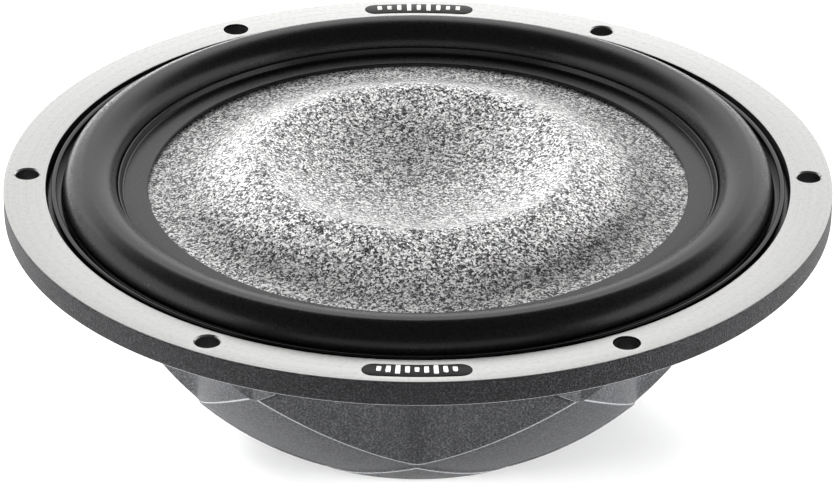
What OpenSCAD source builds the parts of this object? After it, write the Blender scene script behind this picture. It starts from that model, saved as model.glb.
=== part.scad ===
// Shallow car subwoofer: a cast basket with a machined mounting flange, an M-shaped cone on a
// rubber surround and a corrugated spider, and a ring-magnet motor that sits inside the basket.
// Millimetres, +Z towards the listener, origin at the centre of the flat bottom.

/* [Flange] */
// Height from the flat bottom to the machined flange face
depth = 66; // [64:0.5:68]
// Outer radius of the mounting flange
flange_r = 109; // [108:0.5:110]
// Thickness of the flange at its rim
flange_t = 6.7; // [6:0.1:7.5]
// Inner radius of the machined face
face_inner_r = 97.9; // [97.5:0.1:98.2]
// Diameter of the circle that the mounting screws stand on
bolt_circle_d = 206; // [205:0.5:207]
// Radius of each mounting hole
bolt_hole_r = 3.15; // [2.6:0.05:3.3]
// Number of mounting holes
bolt_count = 6; // [6:1:6]
// Radius of the spigot that enters the panel cut-out
spigot_r = 90.5; // [90:0.5:91]
// Height of the spigot below the flange
spigot_h = 6.1; // [5:0.1:6.3]
// Depth of the ledge that carries the surround
ledge_drop = 4.2; // [4:0.1:4.4]
// Chamfer on the edges of the flange
flange_chamfer = 0.5; // [0.2:0.1:0.8]

/* [Bowl] */
// Radius of the sphere that the outside of the bowl follows
bowl_r = 93; // [92.5:0.25:93.5]
// Height of the sphere's centre above the flange face
bowl_rise = 15.2; // [15:0.1:15.4]
// Radius of the six upright cylinders that carve the facets
petal_r = 57.2; // [56.8:0.1:57.6]
// Distance of each cylinder's axis from the centre
petal_offset = 31.8; // [31.4:0.1:32]
// Depth of the underside of the round neck below the flange face
neck_drop = 16.5; // [16:0.1:16.8]
// Depth of the lower end of the gussets between neck and bowl
gusset_drop = 27; // [26.5:0.1:27.2]
// Width of a gusset
gusset_w = 15; // [13:0.5:16]
// Height of the low step that the inner facets stand proud by
facet_step = 0.6; // [0.3:0.1:0.8]
// Thickness of the floor under the motor
floor_t = 4; // [3.5:0.1:4.5]

/* [Surround] */
// Radius of the middle of the half roll
roll_r = 86.3; // [86:0.1:86.6]
// Half of the roll's width
roll_half_w = 7; // [6.8:0.1:7.1]
// Height of the roll above its feet
roll_h = 6; // [5:0.1:6.4]
// Thickness of the rubber
rubber_t = 1; // [0.8:0.1:1.2]
// Inner radius of the flat band that is glued to the cone
band_inner_r = 71.2; // [70.5:0.1:72]
// Depth of the band's upper face below the flange face
band_drop = 1.7; // [1.5:0.1:1.9]

/* [Cone] */
// Outer radius of the cone under the band
cone_r = 77.3; // [77:0.1:77.6]
// Radius of the rim of the dish
rim_r = 40.75; // [40:0.25:42]
// Height of the rim above the flange face
rim_rise = 5.7; // [5:0.1:6]
// Depth of the middle of the dish below the flange face
dish_drop = 3.4; // [3:0.1:3.8]
// Thickness of the sandwich
cone_t = 2.2; // [1.8:0.1:2.4]

/* [Voice coil] */
// Inner radius of the coil former
former_r = 25.6; // [25.5:0.1:25.7]
// Wall of the coil former
former_t = 0.3; // [0.2:0.05:0.35]
// Depth of the former's lower end below the flange face
former_drop = 47; // [45:0.5:48]
// Thickness of the winding
winding_t = 0.8; // [0.6:0.1:0.9]
// Length of the winding
winding_h = 12; // [8:0.5:13]

/* [Motor] */
// Outer radius of the magnet and its plates
motor_r = 46; // [44:0.5:46]
// Radius of the pole
pole_r = 25; // [24.9:0.05:25.1]
// Bore of the top plate
gap_r = 27.4; // [27.3:0.05:27.6]
// Thickness of the top plate
top_plate_t = 6; // [5:0.5:6]
// Thickness of the magnet
magnet_t = 14; // [14:0.5:14]
// Bore of the magnet
magnet_bore_r = 30; // [29.8:0.1:31]
// Radius of the vent through the pole
vent_r = 8; // [6:0.5:8]

/* [Spider] */
// Outer radius of the spider
spider_r = 61.5; // [60.5:0.5:61.5]
// Radius at which the corrugations start
spider_flat_r = 55; // [54:0.5:56]
// Number of corrugations
spider_waves = 5; // [4:1:6]
// Height of a corrugation from its middle
spider_wave_h = 1.3; // [0.8:0.1:1.4]

/* [Terminals] */
// Width of the terminal block
block_w = 29; // [27:0.5:30]
// Height of the terminal block
block_h = 17; // [16:0.5:18]
// Distance between the two contacts
contact_pitch = 16; // [15:0.5:17]
// Width of a contact blade
blade_w = 6.3; // [5:0.1:6.3]

/* [Badges] */
// Width of a badge across the flange
badge_w = 6; // [5.5:0.1:6.2]
// Angle that the front badge covers
front_badge_angle = 15; // [13:0.5:16]
// Angle that the rear badge covers
rear_badge_angle = 17; // [15:0.5:18]

/* [Hidden] */
$fn = 96;

film = 0.3;              // glue film between a fixed piece and a moving one
cut = 1;                 // how far a cutting solid runs past a face

flange_z = depth - flange_t;
ledge_z = depth - ledge_drop;
neck_z = depth - neck_drop;
gusset_z = depth - gusset_drop;
bowl_z = depth + bowl_rise;
spigot_z = flange_z - spigot_h;
gasket_t = 1.2;          // pressed flat in its groove, level with the flange's underside
gasket_inner_r = 92;
gasket_outer_r = 98;
petal_count = 6;
petal_step = 360 / petal_count;
petal_turn = petal_step / 2;

pocket_r = 88;           // throat under the roll
pocket_z = depth - 9;
upper_cavity_r = 78;
upper_floor_z = depth - 13;
middle_cavity_r = 62;
spider_z = depth - 22;   // shelf that carries the spider
lower_cavity_r = 58;
shelf_r = 55;            // lip that carries the spider's flat edge
shelf_t = 2;
shelf_slope_h = 3;
slope_top_z = depth - 45;
slope_end_z = floor_t + 3;
motor_seat_r = motor_r + film;

back_plate_t = 6;
back_plate_z = floor_t;
magnet_z = back_plate_z + back_plate_t;
top_plate_z = magnet_z + magnet_t;
pole_top_z = top_plate_z + top_plate_t + 1;
pole_tail_r = 14;
vent_seat_r = 10.5;
vent_seat_h = 2.4;
screen_z = 0.6;
screen_t = 0.8;
screen_gap = 0.1;
screen_hole_r = 0.75;
screen_pitch = 2.1;
screen_rows = 4;
shorting_ring_h = 7.5;
shorting_ring_gap = 0.2;

motor_screw_circle_r = 34;
motor_screw_count = 4;
motor_screw_r = 2;
screw_head_r = 3.8;
screw_head_h = 2.2;
screw_into_plate = 4;
screw_inset = 0.3;       // how deep a head sits below the face
hex_across = 2.5;
hex_depth = 1.6;

foot_t = 1.2;
foot_z = ledge_z + foot_t;
foot_outer_r = 97.3;
roll_z = depth - 0.8;
roll_steps = 14;
band_shoulder = 0.8;     // width of the slope from the roll down to the band
band_root = 0.6;
band_z = depth - band_drop;
clamp_inner_r = 95.1;
clamp_outer_r = 96.5;
clamp_z = depth - 0.2;
clamp_round = 0.4;

cone_edge_z = band_z - rubber_t - film;
rim_z = depth + rim_rise;
dish_z = depth - dish_drop;
slope_power = 1.3;
profile_steps = 12;
dish_steps = 9;

former_outer_r = former_r + former_t;
former_z = depth - former_drop;
glue_t = 0.15;           // glue between the former or its collar and the cone
former_top_z = dish_height(former_outer_r) - cone_t - glue_t;
winding_z = former_z + 1.5;
collar_w = 2.6;
collar_h = 3.4;
collar_lip = 1.2;
collar_glue_t = 0.5;
foil_t = 0.15;
foil_angle = 12;
foil_z = depth - 15;
foil_h = 6;

spider_inner_r = former_outer_r + film;
spider_t = 0.5;
spider_mid_z = spider_z + spider_wave_h;
spider_wave_steps = 8;

block_seat_y = 65.6;
block_d = 11;
block_gap = 0.5;         // room around the block in its recess
block_recess_d = 40;
block_top_z = neck_z - 0.3;
block_z = block_top_z - block_h;
blade_t = 0.8;
blade_out = 85;
pin_z = spider_z + 2.8;
pin_in_y = 57.5;
pin_out_y = 68;
pin_r = 1.2;
insulator_r = 2;
insulator_in_y = 61.6;
block_screw_r = 1.5;
block_screw_head_r = 2.8;
block_screw_z = block_z + 0.25 * block_h;
block_screw_head_h = 1.6;
block_screw_x = block_w / 2 - 3.4;
block_screw_tail = 5;
slot_l = 3.6;
slot_w = 0.7;
slot_depth = 0.8;

badge_r = 103.4;
badge_seat = 1.2;
badge_t = 1.3;
badge_gap = 0.12;
pill_shoulder = 0.05;    // how much smaller a pill's round ends are than its middle
mark_w = 1.1;
mark_h = 0.6;
mark_spread = 0.86;      // share of a badge's straight middle that the bars cover
front_mark_lengths = [1.6, 2.4, 3.4, 2.4, 1.6, 2.4, 3.4, 2.4, 1.6];
rear_mark_lengths = [1.6, 1.6, 2.6, 3.4, 2.6, 3.4, 2.6, 1.6, 1.6];

// Route of the positive flexible lead, from its pin to the coil former; the other is its mirror
lead_r = 1;
lead_route = [
    [8, 57.5, 46.8], [8, 56, 46.9], [8, 54, 47.6], [7.9, 51.5, 48.9], [7.8, 49, 50], [7.6, 46, 50.8],
    [7.3, 42.5, 51.2], [7, 39, 51.4], [6.7, 36, 51.8], [6.3, 33, 52.5], [5.9, 30, 53.3],
    [5.5, 27.6, 53.8], [5.4, 26.1, 53.9]
];
lead_sides = 8;

// Height of the outer slope of the cone at radius r
function slope_height(r) =
    let (u = pow((band_inner_r - r) / (band_inner_r - rim_r), slope_power))
    cone_edge_z + (rim_z - cone_edge_z) * u * u * (3 - 2 * u);

// Height of the dish of the cone at radius r
function dish_height(r) = dish_z + (rim_z - dish_z) * pow(r / rim_r, 2);

// Points along the upper face of the cone, from the middle outwards
function cone_top_points() = concat(
    [for (i = [0 : dish_steps]) let (r = rim_r * i / dish_steps) [r, dish_height(r)]],
    [for (i = [profile_steps - 1 : -1 : 0])
        let (r = band_inner_r - (band_inner_r - rim_r) * i / profile_steps) [r, slope_height(r)]],
    [[cone_r, cone_edge_z]]
);

// Points of a half ellipse about the roll's middle, between two angles
function roll_points(half_w, height, from, to, steps) = [
    for (i = [0 : steps])
        let (a = from + (to - from) * i / steps)
        [roll_r + half_w * cos(a), roll_z + height * sin(a)]
];

function reversed(list) = [for (i = [len(list) - 1 : -1 : 0]) list[i]];
function lowered(list, drop) = [for (p = list) [p[0], p[1] - drop]];

// Unit vector along a list of points at place i
function along(points, i) =
    let (
        a = points[max(i - 1, 0)],
        b = points[min(i + 1, len(points) - 1)]
    )
    (b - a) / norm(b - a);

module ring(outer, inner, low, high) {
    translate([0, 0, low])
        difference() {
            cylinder(r = outer, h = high - low);
            translate([0, 0, -cut]) cylinder(r = inner, h = high - low + 2 * cut);
        }
}

module disc(radius, low, high) {
    translate([0, 0, low]) cylinder(r = radius, h = high - low);
}

module around(count, radius, turn = 0) {
    for (i = [0 : count - 1])
        rotate([0, 0, turn + i * 360 / count]) translate([radius, 0, 0]) children();
}

// One upright cylinder of the six that carve the bowl
module petal(i, low, high) {
    rotate([0, 0, petal_turn + i * petal_step])
        translate([petal_offset, 0, low]) cylinder(r = petal_r, h = high - low);
}

// Where two petals that stand gap places apart both reach
module shared_petals(i, gap, low, high) {
    intersection() {
        petal(i, low, high);
        petal(i + gap, low, high);
    }
}

module bowl_ball(radius) {
    translate([0, 0, bowl_z]) sphere(r = radius);
}

// Round neck under the flange, and the gussets below it in line with the mounting holes
module upper_bowl() {
    intersection() {
        bowl_ball(bowl_r);
        union() for (i = [0 : petal_count - 1]) petal(i, gusset_z, flange_z + cut);
        union() {
            disc(flange_r, neck_z, flange_z + cut);
            around(bolt_count, 0)
                translate([shelf_r, -gusset_w / 2, gusset_z])
                    cube([flange_r - shelf_r, gusset_w, neck_z - gusset_z + cut]);
        }
    }
}

module middle_bowl() {
    intersection() {
        bowl_ball(bowl_r - facet_step);
        union() for (i = [0 : petal_count - 1]) shared_petals(i, 1, 0, neck_z + cut);
    }
}

module lower_bowl() {
    intersection() {
        bowl_ball(bowl_r);
        union() for (i = [0 : petal_count - 1]) shared_petals(i, 2, 0, neck_z + cut);
    }
}

module flange_blank() {
    rotate_extrude()
        polygon([
            [0, flange_z], [flange_r - flange_chamfer, flange_z],
            [flange_r, flange_z + flange_chamfer], [flange_r, depth - flange_chamfer],
            [flange_r - flange_chamfer, depth], [0, depth]
        ]);
}

module basket_cavity() {
    rotate_extrude()
        polygon([
            [0, floor_t], [motor_seat_r, floor_t], [motor_seat_r, slope_end_z],
            [lower_cavity_r, slope_top_z], [lower_cavity_r, spider_z - shelf_t - shelf_slope_h],
            [shelf_r, spider_z - shelf_t], [shelf_r, spider_z], [middle_cavity_r, spider_z],
            [middle_cavity_r, upper_floor_z], [upper_cavity_r, upper_floor_z],
            [upper_cavity_r, pocket_z], [pocket_r, pocket_z], [pocket_r, ledge_z],
            [face_inner_r, ledge_z], [face_inner_r, depth + cut], [0, depth + cut]
        ]);
}

// A pill that follows the flange, standing on height low
module arc_pill(angle, width, low, high) {
    end_r = width / 2 - pill_shoulder;
    rotate([0, 0, -angle / 2]) {
        translate([0, 0, low])
            rotate_extrude(angle = angle)
                translate([badge_r - width / 2, 0]) square([width, high - low]);
        translate([badge_r, 0, low]) cylinder(r = end_r, h = high - low);
        rotate([0, 0, angle]) translate([badge_r, 0, low]) cylinder(r = end_r, h = high - low);
    }
}

// Raised upright bars spread along a badge
module badge_bars(lengths, angle) {
    pitch = angle * mark_spread / (len(lengths) - 1);
    for (i = [0 : len(lengths) - 1])
        rotate([0, 0, (i - (len(lengths) - 1) / 2) * pitch])
            translate([badge_r, 0, depth - badge_seat + badge_t])
                linear_extrude(mark_h)
                    square([lengths[i], mark_w], center = true);
}

// Arc that a badge's straight middle covers, once its round ends are taken off
function badge_middle(angle) = angle - 360 * badge_w / (2 * PI * badge_r);

module contact_shape(side) {
    x = side * contact_pitch / 2;
    translate([x, pin_in_y, pin_z]) rotate([-90, 0, 0]) cylinder(r = pin_r, h = pin_out_y - pin_in_y);
    translate([x - blade_w / 2, pin_out_y - cut, pin_z - blade_t / 2])
        cube([blade_w, blade_out - pin_out_y + cut, blade_t]);
}

module block_screw_bodies(radius, head_r) {
    for (side = [-1, 1])
        translate([side * block_screw_x, 0, block_screw_z]) {
            translate([0, block_seat_y - block_screw_tail, 0])
                rotate([-90, 0, 0]) cylinder(r = radius, h = block_d + block_screw_tail);
            translate([0, block_seat_y + block_d - block_screw_head_h, 0])
                rotate([-90, 0, 0]) cylinder(r = head_r, h = block_screw_head_h);
        }
}

module motor_screw_bodies() {
    around(motor_screw_count, motor_screw_circle_r, 45) {
        translate([0, 0, screw_inset + screw_head_h])
            cylinder(r = motor_screw_r, h = floor_t - screw_inset - screw_head_h + screw_into_plate);
        translate([0, 0, screw_inset]) cylinder(r = screw_head_r, h = screw_head_h);
    }
}

// A round tube swept along a list of points
module tube(points, radius, sides) {
    count = len(points);
    rings = [
        for (i = [0 : count - 1])
            let (
                d = along(points, i),
                u = cross(d, [1, 0, 0]) / norm(cross(d, [1, 0, 0])),
                v = cross(d, u)
            )
            for (k = [0 : sides - 1])
                points[i] + radius * (cos(k * 360 / sides) * u + sin(k * 360 / sides) * v)
    ];
    walls = [
        for (i = [0 : count - 2])
            for (k = [0 : sides - 1])
                let (n = (k + 1) % sides)
                [i * sides + k, i * sides + n, (i + 1) * sides + n, (i + 1) * sides + k]
    ];
    first_end = [for (k = [sides - 1 : -1 : 0]) k];
    last_end = [for (k = [0 : sides - 1]) (count - 1) * sides + k];
    polyhedron(points = rings, faces = concat(walls, [first_end], [last_end]));
}

module basket() {
    color("dimgray")
        difference() {
            union() {
                flange_blank();
                disc(spigot_r, spigot_z, flange_z + cut);
                upper_bowl();
                middle_bowl();
                lower_bowl();
            }
            basket_cavity();
            ring(gasket_outer_r, gasket_inner_r, flange_z - cut, flange_z + gasket_t);
            translate([0, 0, flange_z - cut])
                around(bolt_count, bolt_circle_d / 2) cylinder(r = bolt_hole_r, h = flange_t + 2 * cut);
            rotate([0, 0, -90])
                arc_pill(badge_middle(front_badge_angle), badge_w, depth - badge_seat, depth + cut);
            rotate([0, 0, 90])
                arc_pill(badge_middle(rear_badge_angle), badge_w, depth - badge_seat, depth + cut);
            translate([0, 0, -cut]) cylinder(r = vent_seat_r, h = vent_seat_h + cut);
            translate([0, 0, -cut]) cylinder(r = vent_r, h = floor_t + 2 * cut);
            around(motor_screw_count, motor_screw_circle_r, 45) {
                translate([0, 0, -cut]) cylinder(r = motor_screw_r, h = floor_t + 2 * cut);
                translate([0, 0, -cut]) cylinder(r = screw_head_r, h = screw_inset + screw_head_h + cut);
            }
            translate([-block_w / 2 - block_gap, block_seat_y, block_z - block_gap])
                cube([block_w + 2 * block_gap, block_recess_d, neck_z - block_z + block_gap]);
            block_screw_bodies(block_screw_r, block_screw_r);
            for (side = [-1, 1])
                translate([side * contact_pitch / 2, pin_in_y, pin_z])
                    rotate([-90, 0, 0]) cylinder(r = insulator_r, h = pin_out_y - pin_in_y);
        }
}

module mounting_gasket() {
    color("black") ring(gasket_outer_r, gasket_inner_r, flange_z, flange_z + gasket_t);
}

module clamp_ring() {
    color("black")
        rotate_extrude()
            polygon([
                [clamp_inner_r, foot_z], [clamp_outer_r, foot_z], [clamp_outer_r, clamp_z - clamp_round],
                [clamp_outer_r - clamp_round, clamp_z], [clamp_inner_r + clamp_round, clamp_z],
                [clamp_inner_r, clamp_z - clamp_round]
            ]);
}

module badge_plate(angle) {
    low = depth - badge_seat;
    arc_pill(badge_middle(angle), badge_w - 2 * badge_gap, low, low + badge_t);
}

module front_badge() {
    color("darkslategray") rotate([0, 0, -90]) badge_plate(front_badge_angle);
}

module front_badge_marks() {
    color("silver") rotate([0, 0, -90]) badge_bars(front_mark_lengths, badge_middle(front_badge_angle));
}

module rear_badge() {
    color("darkslategray") rotate([0, 0, 90]) badge_plate(rear_badge_angle);
}

module rear_badge_marks() {
    color("silver") rotate([0, 0, 90]) badge_bars(rear_mark_lengths, badge_middle(rear_badge_angle));
}

module surround() {
    outer_roll = roll_points(roll_half_w, roll_h, 0, 180, roll_steps);
    inner_roll = roll_points(roll_half_w - rubber_t, roll_h - rubber_t, 180, 0, roll_steps);
    color("#1c1c1e")
        rotate_extrude()
            polygon(concat(
                [[foot_outer_r, ledge_z], [foot_outer_r, foot_z], [roll_r + roll_half_w, foot_z]],
                outer_roll,
                [[roll_r - roll_half_w - band_shoulder, band_z], [band_inner_r, band_z],
                    [band_inner_r, band_z - rubber_t], [roll_r - roll_half_w + band_root, band_z - rubber_t]],
                inner_roll,
                [[roll_r + roll_half_w - rubber_t, ledge_z]]
            ));
}

module cone() {
    top = cone_top_points();
    color("#b4b4b6")
        rotate_extrude() polygon(concat(top, reversed(lowered(top, cone_t))));
}

module coil_collar() {
    low = former_top_z - collar_h;
    outer = former_outer_r + collar_w;
    color("#2a2a2c")
        rotate_extrude()
            polygon([
                [former_outer_r, low], [former_outer_r + collar_lip, low],
                [outer, dish_height(outer) - cone_t - collar_glue_t],
                [former_outer_r, dish_height(former_outer_r) - cone_t - glue_t]
            ]);
}

module coil_former() {
    color("#c8a24a") ring(former_outer_r, former_r, former_z, former_top_z);
}

module coil_winding() {
    color("#b06a32")
        ring(former_outer_r + winding_t, former_outer_r, winding_z, winding_z + winding_h);
}

module lead_foils() {
    color("#b8703c")
        for (side = [-1, 1])
            rotate([0, 0, 90 - side * foil_angle - foil_angle / 2])
                translate([0, 0, foil_z])
                    rotate_extrude(angle = foil_angle)
                        translate([former_outer_r, 0]) square([foil_t, foil_h]);
}

// One sheet pressed into rings, flat where it is glued to its shelf
module spider() {
    count = spider_waves * spider_wave_steps;
    upper = [
        for (i = [0 : count])
            let (r = spider_inner_r + (spider_flat_r - spider_inner_r) * i / count)
            [r, spider_mid_z + spider_t - spider_wave_h * cos(360 * i / spider_wave_steps)]
    ];
    top = concat(upper, [[spider_r, spider_z + spider_t]]);
    color("#c9a45c")
        rotate_extrude() polygon(concat(top, reversed(lowered(top, spider_t))));
}

module top_plate() {
    color("#3a3c40") ring(motor_r, gap_r, top_plate_z, top_plate_z + top_plate_t);
}

module magnet() {
    color("#303236") ring(motor_r, magnet_bore_r, magnet_z, top_plate_z);
}

module back_plate() {
    color("#3a3c40")
        difference() {
            ring(motor_r, pole_tail_r, back_plate_z, magnet_z);
            around(motor_screw_count, motor_screw_circle_r, 45)
                translate([0, 0, back_plate_z - cut])
                    cylinder(r = motor_screw_r, h = screw_into_plate + cut);
        }
}

module pole_piece() {
    color("#55575c")
        difference() {
            union() {
                disc(pole_r, magnet_z, pole_top_z);
                disc(pole_tail_r, back_plate_z, magnet_z + cut);
            }
            disc(vent_r, back_plate_z - cut, pole_top_z + cut);
        }
}

module shorting_ring() {
    color("#c07a45")
        ring(magnet_bore_r - shorting_ring_gap, gap_r + shorting_ring_gap, magnet_z, magnet_z + shorting_ring_h);
}

module vent_screen() {
    holes = 6;
    row_turn = 15;
    color("#202224")
        difference() {
            disc(vent_seat_r - screen_gap, screen_z, screen_z + screen_t);
            disc(screen_hole_r, screen_z - cut, screen_z + screen_t + cut);
            for (row = [1 : screen_rows])
                around(holes * row, screen_pitch * row, row * row_turn)
                    disc(screen_hole_r, screen_z - cut, screen_z + screen_t + cut);
        }
}

module motor_screws() {
    color("#8a8c90")
        difference() {
            motor_screw_bodies();
            around(motor_screw_count, motor_screw_circle_r, 45)
                translate([0, 0, -cut])
                    cylinder(r = hex_across / 2 / cos(30), h = cut + screw_inset + hex_depth, $fn = 6);
        }
}

module terminal_block() {
    color("#26272a")
        difference() {
            translate([-block_w / 2, block_seat_y, block_z]) cube([block_w, block_d, block_h]);
            contact_shape(-1);
            contact_shape(1);
            block_screw_bodies(block_screw_r, block_screw_head_r);
        }
}

module terminal_positive() {
    color("#d0aa50") contact_shape(1);
}

module terminal_negative() {
    color("#c8c8cc") contact_shape(-1);
}

module terminal_screws() {
    color("#9a9ca0")
        difference() {
            block_screw_bodies(block_screw_r, block_screw_head_r);
            for (side = [-1, 1])
                translate([side * block_screw_x, block_seat_y + block_d, block_screw_z])
                    cube([slot_l, 2 * slot_depth, slot_w], center = true);
        }
}

module pin_insulators() {
    color("#6a2020")
        for (side = [-1, 1])
            translate([side * contact_pitch / 2, insulator_in_y, pin_z])
                rotate([-90, 0, 0])
                    difference() {
                        cylinder(r = insulator_r, h = block_seat_y - insulator_in_y);
                        translate([0, 0, -cut])
                            cylinder(r = pin_r, h = block_seat_y - insulator_in_y + 2 * cut);
                    }
}

module lead_positive() {
    color("#b08a5a") tube(lead_route, lead_r, lead_sides);
}

module lead_negative() {
    color("#a8a8ac") mirror([1, 0, 0]) tube(lead_route, lead_r, lead_sides);
}

basket();
mounting_gasket();
clamp_ring();
front_badge();
front_badge_marks();
rear_badge();
rear_badge_marks();
surround();
cone();
coil_collar();
coil_former();
coil_winding();
lead_foils();
spider();
top_plate();
magnet();
back_plate();
pole_piece();
shorting_ring();
vent_screen();
motor_screws();
terminal_block();
terminal_positive();
terminal_negative();
terminal_screws();
pin_insulators();
lead_positive();
lead_negative();
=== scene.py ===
import math

import bmesh
import bpy
from mathutils import Matrix, Vector
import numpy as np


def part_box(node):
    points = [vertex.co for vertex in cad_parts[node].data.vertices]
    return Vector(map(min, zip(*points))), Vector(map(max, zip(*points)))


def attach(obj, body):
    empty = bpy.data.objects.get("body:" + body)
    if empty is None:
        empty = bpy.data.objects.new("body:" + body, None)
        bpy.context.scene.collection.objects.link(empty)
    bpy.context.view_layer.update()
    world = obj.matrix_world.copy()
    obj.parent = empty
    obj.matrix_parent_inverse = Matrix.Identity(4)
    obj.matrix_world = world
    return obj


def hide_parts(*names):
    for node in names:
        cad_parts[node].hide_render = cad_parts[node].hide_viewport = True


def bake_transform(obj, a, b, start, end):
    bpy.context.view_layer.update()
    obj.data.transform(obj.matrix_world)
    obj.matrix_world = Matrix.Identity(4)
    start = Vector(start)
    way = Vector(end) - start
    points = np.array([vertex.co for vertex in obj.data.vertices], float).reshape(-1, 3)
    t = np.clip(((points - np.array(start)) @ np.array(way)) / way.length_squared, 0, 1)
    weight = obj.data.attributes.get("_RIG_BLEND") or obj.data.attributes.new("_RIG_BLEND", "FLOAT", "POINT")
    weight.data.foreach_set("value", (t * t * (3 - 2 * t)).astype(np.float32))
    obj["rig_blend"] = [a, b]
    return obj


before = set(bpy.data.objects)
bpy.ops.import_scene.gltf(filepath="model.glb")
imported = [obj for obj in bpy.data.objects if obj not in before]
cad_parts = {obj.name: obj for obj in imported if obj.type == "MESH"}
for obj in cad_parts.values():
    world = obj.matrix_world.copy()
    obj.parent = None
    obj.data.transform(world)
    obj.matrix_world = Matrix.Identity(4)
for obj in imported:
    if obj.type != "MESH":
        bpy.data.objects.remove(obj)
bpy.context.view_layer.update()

# Sizes below are in millimetres, and heights are measured from the machined face, upwards.
MM = 0.001
FACE_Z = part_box("basket")[1].z
BODY = "frame"
MOVING = "cone_assembly"

FLANGE_R = 109.0
FLANGE_T = 6.7
FACE_INNER_R = 97.9
LEDGE = -4.2
BOLT_CIRCLE_R = 103.0
HOLE_R = 3.15
SPIGOT_R = 90.5
GASKET_T = 1.2
GASKET_INNER_R = 92.0
GASKET_OUTER_R = 98.0
SPIGOT_END = -12.8
NECK_END = -16.5

BALL_R = 93.0
BALL_CENTRE = 15.2
PETAL_R = 57.2
PETAL_OFFSET = 31.8
SIXTH = math.radians(60)
FACET_STEP = 0.6
BOTTOM = -66.0
BOTTOM_INSIDE = -62.0
MOTOR_R = 46.3
VENT_R = 10.5
VENT_SEAT = -63.6
SCREW_CIRCLE_R = 34.0
SPIDER_SEAT = -22.0
NECK_INNER_R = 78.0

ROLL_R = 86.3
ROLL_HALF_W = 7.0
ROLL_H = 6.0
BAND_INNER_R = 71.2
BAND_TOP = -1.7

CONE_EDGE_R = 77.3
RIM_R = 40.75
RIM_TOP = 5.7
DISH_LOW = -3.4
CONE_T = 2.2
CONE_EDGE_TOP = BAND_TOP - 1.3
RIM_SOFT = 1.2

BADGE_R = 103.4
BADGE_W = 6.0
BADGE_DEPTH = -1.2
FRONT_BADGE_L = 27.1
REAR_BADGE_L = 30.7
FRONT, REAR = math.radians(-90), math.radians(90)

WELD = 2e-6  # metres between points that are taken as one


# ---------------------------------------------------------------- camera, light and floor

def make_camera():
    """A long lens, a little over a metre away and 28 degrees above the flange. Lengths are in millimetres."""
    elevation, roll = math.radians(28.276), math.radians(0.23)
    distance, aside, above = 1141.7, 0.6, -19.16
    sensor_width, focal_length = 36, 185.6
    forward = Vector((0, math.cos(elevation), -math.sin(elevation)))
    upward = Vector((0, math.sin(elevation), math.cos(elevation)))
    data = bpy.data.cameras.new("camera")
    camera = bpy.data.objects.new("camera", data)
    bpy.context.scene.collection.objects.link(camera)
    camera.location = (-forward * distance + Vector((aside, 0, 0)) + upward * above) * MM
    camera.location.z += FACE_Z
    aim = Matrix.Rotation(math.pi / 2 - elevation, 3, "X") @ Matrix.Rotation(roll, 3, "Z")
    camera.rotation_euler = aim.to_euler()
    data.sensor_width = sensor_width
    data.lens = focal_length
    data.clip_start, data.clip_end = 0.05, 50
    bpy.context.scene.camera = camera


def add_panel_light(name, place, size, power, highlights=True, shade=True):
    """A rectangular light that points at the driver, and can be kept out of highlights or out of shading."""
    data = bpy.data.lights.new(name, "AREA")
    data.shape = "RECTANGLE"
    data.size, data.size_y = size
    data.energy = power
    light = bpy.data.objects.new(name, data)
    bpy.context.scene.collection.objects.link(light)
    light.location = place
    driver_middle = Vector((0, 0, 0.05))
    light.rotation_euler = (driver_middle - Vector(place)).to_track_quat("-Z", "Y").to_euler()
    light.visible_glossy = highlights
    light.visible_diffuse = shade


def make_world():
    """Almost no light of its own, and plain white where the floor ends."""
    world = bpy.data.worlds.new("studio")
    world.use_nodes = True
    tree = world.node_tree
    seen = add_node(tree, "ShaderNodeLightPath").outputs["Is Camera Ray"]
    as_light, as_backdrop = 0.03, 1.0
    strength = add_node(tree, "ShaderNodeMapRange",
                        {"Value": seen, "To Min": as_light, "To Max": as_backdrop})
    background = tree.nodes["Background"]
    background.inputs["Color"].default_value = (1, 1, 1, 1)
    tree.links.new(strength.outputs["Result"], background.inputs["Strength"])
    bpy.context.scene.world = world


def make_studio():
    """A low wall of light behind, soft fill from behind and above, low panels and pale walls at the sides."""
    make_world()
    bpy.context.scene.view_settings.view_transform = "Standard"
    add_panel_light("back_wall_panel", (0, 1.5, 0.66), (3.4, 1.3), 16.5)
    add_panel_light("back_fill", (-0.5, 1.35, 0.5), (1.2, 0.72), 64, highlights=False)
    add_panel_light("overhead_fill", (0, 0.2, 1.5), (1.8, 1.6), 3.5, highlights=False)
    for side in (-1, 1):
        add_panel_light("low_side_panel", (0.95 * side, -0.3, 0.14), (0.6, 0.26), 40, highlights=False)
        add_panel_light("side_wall", (1.9 * side, 0.1, 0.7), (3.0, 1.3), 12, shade=False)
    add_panel_light("front_wall", (0, -1.9, 0.45), (3.0, 0.8), 3, shade=False)


# ---------------------------------------------------------------- materials

def linear(hex_colour):
    """An sRGB hex colour as linear red, green, blue and alpha."""
    channels = [int(hex_colour[i:i + 2], 16) / 255 for i in (1, 3, 5)]
    return [c / 12.92 if c <= 0.04045 else ((c + 0.055) / 1.055) ** 2.4 for c in channels] + [1.0]


def add_node(tree, kind, inputs=None, **settings):
    """Adds a node. An input is a value, or an output of another node to link from."""
    made = tree.nodes.new(kind)
    for key, value in settings.items():
        setattr(made, key, value)
    for key, value in (inputs or {}).items():
        if isinstance(value, bpy.types.NodeSocket):
            tree.links.new(value, made.inputs[key])
        else:
            made.inputs[key].default_value = value
    return made


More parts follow.
